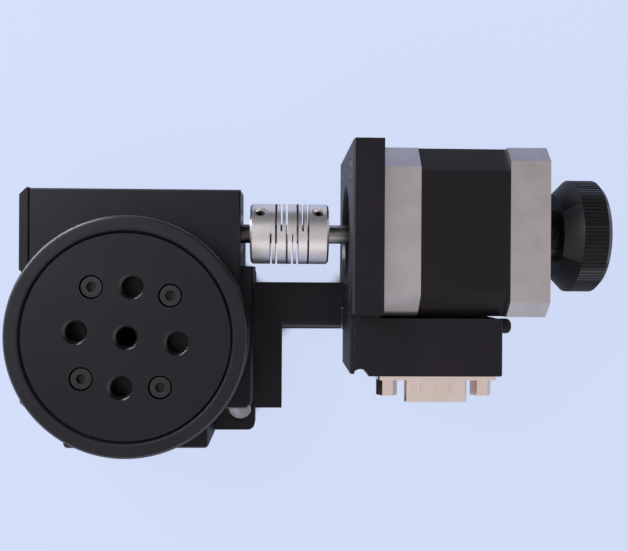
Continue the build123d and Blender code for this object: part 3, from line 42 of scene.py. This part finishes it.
# ---------------------------------------------------------------- node trees
NOISE_SPAN = (0.3, 0.7)                      # where most values of a noise field lie
EVEN = (1, 1, 1)
FLAT_DOT, EDGE_DOT = 0.995, 0.9              # of the plain normal and a rounded one
EDGE_SAMPLES = 6
CHAMFER_SLOPE = math.sqrt(0.5)               # the size of a 45 degree face's normal along Z
CHAMFER_BAND = 0.1


class Nodes:
    """A node tree with short calls for building it. A value is a socket, a number, a vector or a colour."""

    def __init__(self, tree):
        self.tree = tree

    def node(self, kind, **settings):
        made = self.tree.nodes.new(kind)
        for key, value in settings.items():
            setattr(made, key, value)
        return made

    def feed(self, target, value):
        """Links value to the input target, or sets it there."""
        if isinstance(value, bpy.types.NodeSocket):
            self.tree.links.new(value, target)
        elif target.type == "RGBA":
            target.default_value = (*value, 1)
        else:
            target.default_value = value

    def feed_all(self, targets, values):
        for target, value in zip(targets, values):
            self.feed(target, value)

    def calc(self, operation, *values):
        """The result of a Math node."""
        made = self.node("ShaderNodeMath", operation=operation)
        self.feed_all(made.inputs, values)
        return made.outputs[0]

    def ramp(self, value, span_in, span_out=(0, 1)):
        """value, mapped from one span to another."""
        made = self.node("ShaderNodeMapRange")
        keys = ("Value", "From Min", "From Max", "To Min", "To Max")
        self.feed_all([made.inputs[key] for key in keys], (value, *span_in, *span_out))
        return made.outputs["Result"]

    def mix_numbers(self, factor, first, second):
        mixed = self.node("ShaderNodeMix")
        self.feed_all([mixed.inputs[key] for key in ("Factor", "A", "B")], (factor, first, second))
        return mixed.outputs["Result"]

    def mix_colors(self, factor, first, second):
        mixed = self.node("ShaderNodeMix", data_type="RGBA")
        self.feed(mixed.inputs["Factor"], factor)
        self.feed_all([side for side in mixed.inputs if side.type == "RGBA"], (first, second))
        return next(result for result in mixed.outputs if result.type == "RGBA")

    def mix_shaders(self, factor, first, second):
        mixed = self.node("ShaderNodeMixShader")
        self.feed_all(mixed.inputs, (factor, first, second))
        return mixed.outputs[0]


class Shader(Nodes):
    """A new material's node tree, with what the finishes need."""

    def __init__(self, name, color, metallic=0.0, roughness=0.5, specular=0.5):
        self.material = bpy.data.materials.new(name)
        self.material.use_nodes = True
        super().__init__(self.material.node_tree)
        self.surface = self.tree.nodes["Principled BSDF"]
        self.put("Base Color", color)
        self.put("Metallic", metallic)
        self.put("Roughness", roughness)
        self.put("Specular IOR Level", specular)

    def put(self, key, value):
        """Links value to an input of the surface, or sets it there."""
        self.feed(self.surface.inputs[key], value)

    def noise(self, size, detail=2.0, roughness=0.5, stretch=EVEN):
        """A noise field in the piece's own coordinates, whose blotches are about size across."""
        mapping = self.node("ShaderNodeMapping")
        self.feed(mapping.inputs["Vector"], self.node("ShaderNodeTexCoord").outputs["Object"])
        self.feed(mapping.inputs["Scale"], stretch)
        texture = self.node("ShaderNodeTexNoise")
        keys = ("Vector", "Scale", "Detail", "Roughness")
        values = (mapping.outputs["Vector"], 1 / size, detail, roughness)
        self.feed_all([texture.inputs[key] for key in keys], values)
        return texture.outputs["Fac"]

    def rounded_normal(self, radius, samples):
        """The normal that the surface would have with its edges rounded by radius."""
        bevel = self.node("ShaderNodeBevel", samples=samples)
        self.feed(bevel.inputs["Radius"], radius)
        return bevel.outputs["Normal"]

    def bump(self, height, depth, strength, normal=None):
        """Gives the surface a relief that is depth deep, on top of normal if one is given."""
        made = self.node("ShaderNodeBump")
        keys = ("Height", "Distance", "Strength")
        self.feed_all([made.inputs[key] for key in keys], (height, depth, strength))
        if normal is not None:
            self.feed(made.inputs["Normal"], normal)
        self.put("Normal", made.outputs["Normal"])

    def edges(self, radius):
        """1 on edges and 0 on flat faces, from how far a rounded normal leaves the plain one."""
        dot = self.node("ShaderNodeVectorMath", operation="DOT_PRODUCT")
        self.feed(dot.inputs[0], self.rounded_normal(radius, EDGE_SAMPLES))
        self.feed(dot.inputs[1], self.node("ShaderNodeNewGeometry").outputs["Normal"])
        return self.ramp(dot.outputs["Value"], (FLAT_DOT, EDGE_DOT))

    def chamfers(self):
        """1 on faces at about 45 degrees to the world's vertical and 0 on the others.

        It holds still on a piece that turns about Z. On one that turns about X, such as the hand knob,
        it would slide over the surface, and it also marks two bands along a round bore about X.
        """
        split = self.node("ShaderNodeSeparateXYZ")
        self.feed(split.inputs[0], self.node("ShaderNodeNewGeometry").outputs["True Normal"])
        slope = self.calc("ABSOLUTE", split.outputs["Z"])
        return self.calc("COMPARE", slope, CHAMFER_SLOPE, CHAMFER_BAND)


# ---------------------------------------------------------------- finishes
BODY_SHINE = 0.22
BODY_ROUGHNESS = 0.46
BODY_BLOTCH_MM, BODY_GRAIN_MM, BODY_WEAR_MM = 9, 0.25, 1.2
BODY_GRAIN_DEPTH_MM, BODY_GRAIN_STRENGTH = 0.012, 0.5
BODY_SMOOTHER, BODY_ROUGHER = 0.06, 0.08     # how far the grain takes the roughness down and up
PALE_BLOTCH = 1.35                           # times the body's colour
WEAR_SPAN, WEAR_STRENGTHS = (0.35, 0.7), (0.15, 0.9)
WORN_EDGE_MM = 0.25
WORN_BLACK = (0.045, 0.043, 0.048)
ROUND_EDGE_SAMPLES = 8
CUT_METAL = (0.085, 0.083, 0.088)            # of a chamfer that is cut after the blasting
CUT_ROUGHNESS = 0.3
METAL_BLOTCH_MM = 6
METAL_GRAIN_STRENGTH = 0.6
METAL_SMOOTHER, METAL_ROUGHER = 0.85, 1.2    # times the roughness
PLASTIC_SHINE = 0.25
PLASTIC_GRAIN_MM = 0.3
PLASTIC_GRAIN_DEPTH_MM, PLASTIC_GRAIN_STRENGTH = 0.01, 0.4
PLASTIC_SPREAD = 0.05                        # of the roughness, down and up


def anodised(name, color, roughness=BODY_ROUGHNESS, worn=WORN_BLACK, edge_radius_mm=0.0):
    """Black anodised aluminium or oxide steel, fine-blasted, with paler edges and barer chamfers."""
    look = Shader(name, color, roughness=roughness, specular=BODY_SHINE)
    blotches = look.ramp(look.noise(BODY_BLOTCH_MM * MM, detail=3), NOISE_SPAN)
    grain = look.noise(BODY_GRAIN_MM * MM, detail=2, roughness=0.6)
    wear = look.ramp(look.noise(BODY_WEAR_MM * MM, detail=4, roughness=0.7), WEAR_SPAN, WEAR_STRENGTHS)
    body = look.mix_colors(blotches, color, tuple(PALE_BLOTCH * c for c in color))
    worn_share = look.calc("MULTIPLY", look.edges(WORN_EDGE_MM * MM), wear)
    cut = look.chamfers()
    look.put("Base Color", look.mix_colors(cut, look.mix_colors(worn_share, body, worn), CUT_METAL))
    look.put("Metallic", cut)
    grainy = look.ramp(grain, NOISE_SPAN, (roughness - BODY_SMOOTHER, roughness + BODY_ROUGHER))
    look.put("Roughness", look.mix_numbers(cut, grainy, CUT_ROUGHNESS))
    normal = look.rounded_normal(edge_radius_mm * MM, ROUND_EDGE_SAMPLES) if edge_radius_mm else None
    look.bump(grain, BODY_GRAIN_DEPTH_MM * MM, BODY_GRAIN_STRENGTH, normal)
    return look.material


def metal(name, color, roughness, grain_mm=0.3, depth_mm=0.01, stretch=EVEN, contrast=0.12):
    """Bare or plated metal with a grain and faint blotches."""
    look = Shader(name, color, metallic=1.0, roughness=roughness)
    grain = look.noise(grain_mm * MM, detail=3, roughness=0.6, stretch=stretch)
    blotches = look.ramp(look.noise(METAL_BLOTCH_MM * MM, detail=3), NOISE_SPAN)
    look.put("Base Color", look.mix_colors(blotches, tuple((1 - contrast) * c for c in color), color))
    span = (METAL_SMOOTHER * roughness, METAL_ROUGHER * roughness)
    look.put("Roughness", look.ramp(grain, NOISE_SPAN, span))
    look.bump(grain, depth_mm * MM, METAL_GRAIN_STRENGTH)
    return look.material


def plastic(name, color, roughness):
    """Moulded plastic, rubber or lacquer with a fine grain."""
    look = Shader(name, color, roughness=roughness, specular=PLASTIC_SHINE)
    grain = look.noise(PLASTIC_GRAIN_MM * MM)
    span = (roughness - PLASTIC_SPREAD, roughness + PLASTIC_SPREAD)
    look.put("Roughness", look.ramp(grain, NOISE_SPAN, span))
    look.bump(grain, PLASTIC_GRAIN_DEPTH_MM * MM, PLASTIC_GRAIN_STRENGTH)
    return look.material


ALONG_X = (0.05, 1, 1)
BLACK = (0.0092, 0.0070, 0.0106)
WORN_RING = (0.03, 0.03, 0.035)
RING_EDGE_MM = 1.0
FINISHES = {
    "black_anodised": anodised("black_anodised", BLACK),
    "black_screw": anodised("black_oxide", (0.024, 0.022, 0.023), 0.32, (0.10, 0.095, 0.10)),
    # The ring's black is paler and bluer than the body's: painted light for its brighter left and lower
    # side.
    "ring": anodised("ring_black_painted_light", (0.012, 0.011, 0.015), worn=WORN_RING, edge_radius_mm=RING_EDGE_MM),
    # The knob's black, about half the body's, is painted shade for the darker end beyond the motor.
    "knob": anodised("knob_black_painted_shade", (0.0045, 0.004, 0.0045), 0.45),
    "bright_steel": metal("bright_steel", (0.30, 0.29, 0.30), 0.22, 0.12, 0.003, ALONG_X),
    # darker than bright_steel: partly the worm shaft's own darker steel, partly painted shade
    "dark_steel": metal("dark_steel", (0.10, 0.092, 0.095), 0.35, 0.12, 0.003, ALONG_X),
    "bearing_steel": metal("bearing_steel", (0.52, 0.52, 0.54), 0.18),
    "rotor_steel": metal("rotor_steel", (0.35, 0.35, 0.37), 0.35),
    "blasted_silver": metal("blasted_silver", (0.74, 0.71, 0.71), 0.36, 0.2, 0.015),
    "motor_cap_metal": metal("motor_cap_metal", (0.61, 0.57, 0.572), 0.34, 0.5, 0.02),
    "copper_winding": metal("copper_winding", (0.55, 0.26, 0.12), 0.35),
    "bronze": metal("bronze", (0.55, 0.37, 0.17), 0.32),
    "nickel": metal("nickel", (0.93, 0.81, 0.73), 0.2, 1.5, 0.004, contrast=0.06),
    "gold": metal("gold", (0.75, 0.55, 0.22), 0.25),
    "motor_stack_black": plastic("motor_stack_black", (0.0075, 0.006, 0.0072), 0.4),
    "black_plastic": plastic("black_plastic", (0.007, 0.006, 0.007), 0.5),
    "gasket_rubber": plastic("gasket_rubber", (0.008, 0.008, 0.008), 0.7),
}
OWN_FINISH = {                               # of the nodes whose finish isn't their slot's
    # the spindle's black oxide darkens the cores of the table's holes: painted shade
    "spindle": "black_screw",
    # the worm shaft's darker steel is partly painted shade
    "worm_shaft": "dark_steel",
    # the scale ring's paler black is painted light
    "scale_ring": "ring",
    # the hand knob's darker black is painted shade
    "hand_knob": "knob",
}
SLOT_OF = {row["node"]: row["material_slot"] for row in frame["record"]["subparts"]}
for node_name, node_object in NODES.items():
    node_object.data.materials.clear()
    node_object.data.materials.append(FINISHES[OWN_FINISH.get(node_name, SLOT_OF[node_name])])


# ---------------------------------------------------------------- a form that the CAD's end cover lacks
PLATE_LEFT_MM, CASE_LEFT_MM = 55.2, 56.4
LIP_BEVEL_MM, LIP_BEVEL_SEGMENTS = 0.15, 2
LIP_BLOCKS_MM = (((4.75, 6.15), (13.1, 38.4)), ((0.2, 6.15), (10.0, 13.1)))      # (Y span, Z span)


def add_cover_lip():
    """The end cover's folded lip, which closes the notch between it, the arm and the motor plate."""
    for number, (y_span, z_span) in enumerate(LIP_BLOCKS_MM):
        spans = ((PLATE_LEFT_MM, CASE_LEFT_MM), y_span, z_span)
        bpy.ops.mesh.primitive_cube_add(size=1, location=[MM * (low + high) / 2 for low, high in spans])
        lip = bpy.context.object
        lip.name = f"cover_lip_{number}"
        lip.data.transform(Matrix.Diagonal([MM * (high - low) for low, high in spans] + [1]))
        soft = lip.modifiers.new("soft", "BEVEL")
        soft.width = LIP_BEVEL_MM * MM
        soft.segments = LIP_BEVEL_SEGMENTS
        lip.data.materials.append(FINISHES["black_anodised"])
        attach(lip, "base")


add_cover_lip()

# ---------------------------------------------------------------- camera
PHOTO_WIDTH = 628
FOCAL_PIXELS = 816.95
SENSOR_WIDTH_MM = 36.0
CLIP_START = 0.01
CAMERA_PLACE_MM = Vector((39.31, 15.64, 241.68))
CAMERA_TURNS = (0.001, 0.034, -0.006)        # about the camera's X, Y and Z, in radians


def add_camera():
    data = bpy.data.cameras.new("camera")
    data.sensor_width = SENSOR_WIDTH_MM
    data.lens = FOCAL_PIXELS / PHOTO_WIDTH * SENSOR_WIDTH_MM
    data.clip_start = CLIP_START
    camera = bpy.data.objects.new("camera", data)
    bpy.context.scene.collection.objects.link(camera)
    turn_x, turn_y, turn_z = (Matrix.Rotation(turn, 4, axis) for turn, axis in zip(CAMERA_TURNS, "XYZ"))
    camera.matrix_world = Matrix.Translation(CAMERA_PLACE_MM * MM) @ (turn_z @ turn_y @ turn_x).transposed()
    bpy.context.scene.camera = camera


# ---------------------------------------------------------------- floor
FLOOR_SIZE = 6
FLOOR_DROP_MM = 0.2
FLOOR_COLOR = (0.658, 0.738, 0.956)
# FLOOR_SHADE is the colour of the painted shade on the floor seen through holes
FLOOR_SHADE = (0.16, 0.15, 0.15)
FLOOR_ROUGHNESS = 0.9
FLOOR_GLOW = 0.9
GLOSSY_SHARE = 0.22                          # of the glow, for what reflects the floor
HOLE_REACH_MM = 7.0
HOLE_OPENNESS = (0.40, 0.26)                 # where the painted shade on the floor in a hole starts, and where it is darkest


def floor_finish():
    """A glow that the camera sees whole and reflections in part, and that lights nothing by diffuse rays.
    Where ambient occlusion finds the floor enclosed, as in a hole, the glow's colour darkens to a painted
    shade.
    """
    look = Shader("floor", FLOOR_COLOR, roughness=FLOOR_ROUGHNESS, specular=0.0)
    lit = look.surface.outputs[0]
    # painted shade: the glow's colour turns to FLOOR_SHADE where ambient occlusion finds the floor enclosed
    openness = look.node("ShaderNodeAmbientOcclusion")
    look.feed(openness.inputs["Distance"], HOLE_REACH_MM * MM)
    painted_hole_shade = look.ramp(openness.outputs["AO"], HOLE_OPENNESS)
    glow = look.node("ShaderNodeEmission")
    look.feed(glow.inputs["Color"], look.mix_colors(painted_hole_shade, FLOOR_COLOR, FLOOR_SHADE))
    glowing = look.mix_shaders(FLOOR_GLOW, lit, glow.outputs[0])
    path = look.node("ShaderNodeLightPath").outputs
    reflected = look.calc("MULTIPLY", path["Is Glossy Ray"], GLOSSY_SHARE)
    seen = look.calc("MAXIMUM", path["Is Camera Ray"], reflected)
    shown = look.calc("MAXIMUM", seen, path["Is Transmission Ray"])
    final = look.mix_shaders(shown, lit, glowing)
    look.feed(look.tree.nodes["Material Output"].inputs["Surface"], final)
    return look.material


def add_floor():
    """A pale blue floor that keeps the object's soft shadow."""
    bpy.ops.mesh.primitive_plane_add(size=FLOOR_SIZE, location=(0, 0, -FLOOR_DROP_MM * MM))
    floor = bpy.context.object
    floor.name = "floor"
    floor.data.materials.append(floor_finish())


# ---------------------------------------------------------------- room and lamps
WORLD_COLOR = (1.0, 0.955, 0.975)
WORLD_STOPS = ((-1.0, 0.78), (0.1, 0.60), (0.55, 0.10), (1.0, 0.05))     # direction's Y, strength
WHITE = (1.0, 1.0, 1.0)
LAMPS = (                                    # name, place, aim, width and height, watts, colour
    ("key", (-0.24, 0.20, 0.36), (0.0, 0.01, 0.02), (0.3, 0.3), 1.6, (0.92, 0.94, 1.0)),
    ("window", (-0.575, 0.555, 0.045), (0.0, 0.0, 0.04), (0.6, 0.08), 5.0, WHITE),
    ("fill", (0.15, -0.55, 0.55), (0.05, 0.01, 0.02), (0.5, 0.5), 0.5, WHITE),
)


def add_world():
    """A soft room, brighter on the connector's side than behind the worm."""
    world = bpy.data.worlds.new("world")
    world.use_nodes = True
    room = Nodes(world.node_tree)
    split = room.node("ShaderNodeSeparateXYZ")
    room.feed(split.inputs[0], room.node("ShaderNodeTexCoord").outputs["Generated"])
    strengths = room.node("ShaderNodeValToRGB")
    room.feed(strengths.inputs["Fac"], room.ramp(split.outputs["Y"], (-1, 1)))
    stops = strengths.color_ramp.elements
    while len(stops) < len(WORLD_STOPS):
        stops.new(0.5)
    for stop, (direction, strength) in zip(stops, WORLD_STOPS):
        stop.position = (direction + 1) / 2
        stop.color = (strength, strength, strength, 1)
    background = room.tree.nodes["Background"]
    room.feed(background.inputs["Color"], WORLD_COLOR)
    room.feed(background.inputs["Strength"], strengths.outputs["Color"])
    bpy.context.scene.world = world


def add_lamp(name, place, aim, size, power, color):
    """A rectangular soft lamp; size is its width and height."""
    data = bpy.data.lights.new(name, "AREA")
    data.shape = "RECTANGLE"
    data.size, data.size_y = size
    data.energy = power
    data.color = color
    lamp = bpy.data.objects.new(name, data)
    bpy.context.scene.collection.objects.link(lamp)
    lamp.location = place
    lamp.rotation_euler = (Vector(aim) - Vector(place)).to_track_quat("-Z", "Y").to_euler()


add_camera()
add_floor()
add_world()
for lamp_settings in LAMPS:
    add_lamp(*lamp_settings)

bpy.context.scene.view_settings.view_transform = "Standard"
